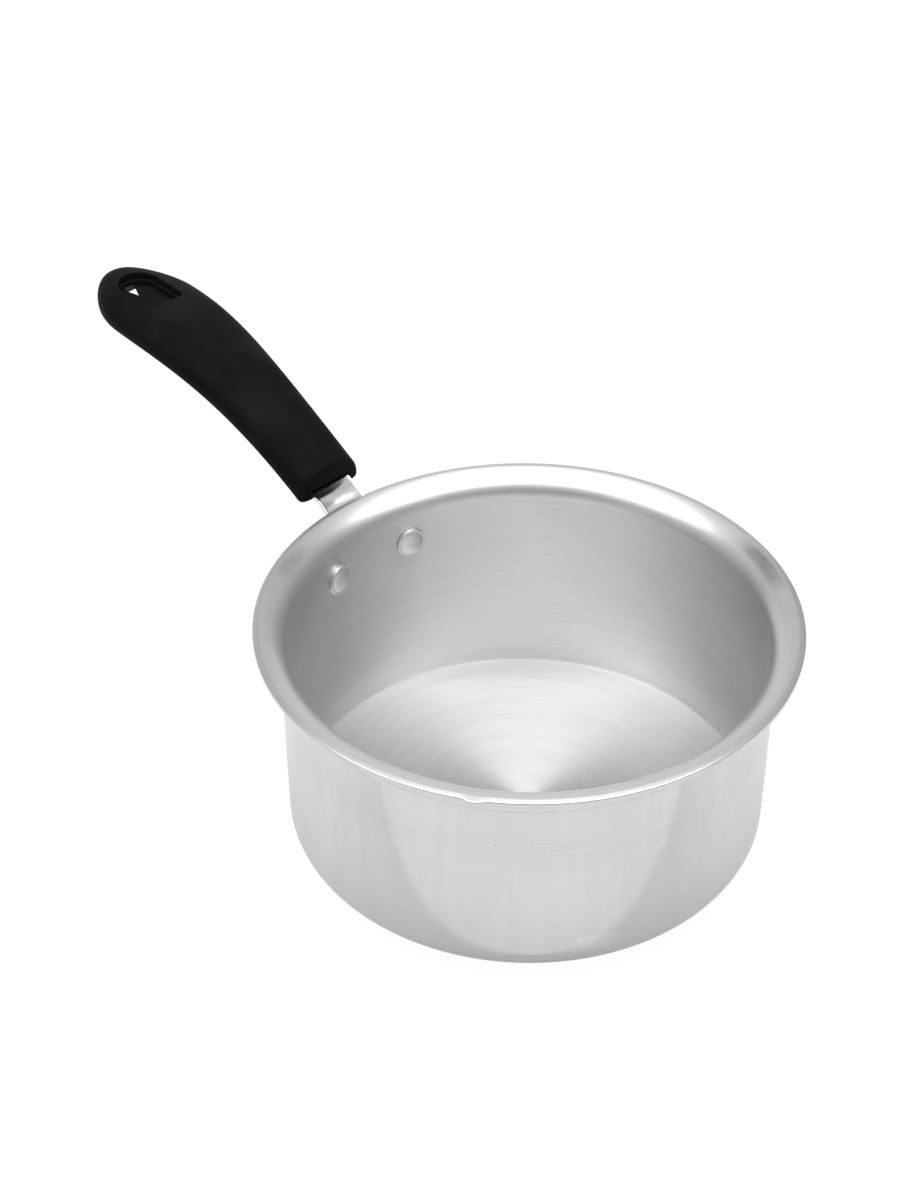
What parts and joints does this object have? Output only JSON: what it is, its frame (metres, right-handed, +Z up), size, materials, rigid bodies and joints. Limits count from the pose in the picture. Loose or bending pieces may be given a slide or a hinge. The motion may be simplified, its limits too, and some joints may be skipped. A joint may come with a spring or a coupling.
{
  "type": "saucepan",
  "caption": "Straight-sided aluminium saucepan with a wide flat rim and a black moulded grip on a riveted steel strap, with a hanging hole at the tip.",
  "frame": {"origin": "centre of the pan's flat base, on the surface that it stands on", "axes": "+Z up along the pan's axis, +X along the handle from the pan to the grip's tip, +Y to the left when looking along the handle from the pan to its tip"},
  "size_m": [0.316, 0.18, 0.1175],
  "materials": {
    "pan_metal": "satin, with fine turned lines inside and polished rim",
    "bracket_metal": "tumbled bright sheet",
    "rivet_metal": "pressed, bright",
    "grip_black": "moulded phenolic, fine matte grain",
    "screw_metal": "zinc plated"
  },
  "bodies": {
    "root": {"pan_body": "pan_metal", "handle_bracket": "bracket_metal", "rivet_left": "rivet_metal", "rivet_right": "rivet_metal", "grip": "grip_black", "grip_screw": "screw_metal"}
  },
  "joints": []
}
